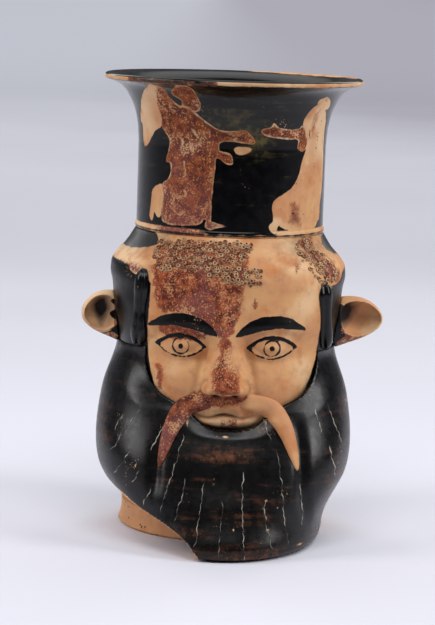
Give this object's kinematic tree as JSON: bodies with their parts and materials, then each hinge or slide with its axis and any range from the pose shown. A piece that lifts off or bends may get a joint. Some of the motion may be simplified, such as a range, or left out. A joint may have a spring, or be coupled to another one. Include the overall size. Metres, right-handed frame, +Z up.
{
  "type": "head vase",
  "caption": "Clay drinking mug shaped as a bearded head with animal ears, under a flaring neck, with a strap handle behind.",
  "frame": {"origin": "centre of the foot ring's underside, on the surface that the vase stands on", "axes": "+Z up along the neck's axis, -Y the way the face looks, +X to the viewer's right"},
  "size_m": [0.1525, 0.1821, 0.228],
  "materials": {
    "black_gloss": "gloss",
    "reserved_clay": "satin",
    "added_clay": "matte"
  },
  "bodies": {
    "root": {"neck": "black_gloss", "face_mould": "reserved_clay", "back_mould": "black_gloss", "foot_ring": "reserved_clay", "base_disc": "reserved_clay", "beard": "black_gloss", "moustache_left": "reserved_clay", "moustache_right": "reserved_clay", "ear_left": "reserved_clay", "ear_right": "reserved_clay", "curl_fringe": "added_clay", "side_lock_left": "black_gloss", "side_lock_right": "black_gloss", "handle": "black_gloss"}
  },
  "joints": []
}
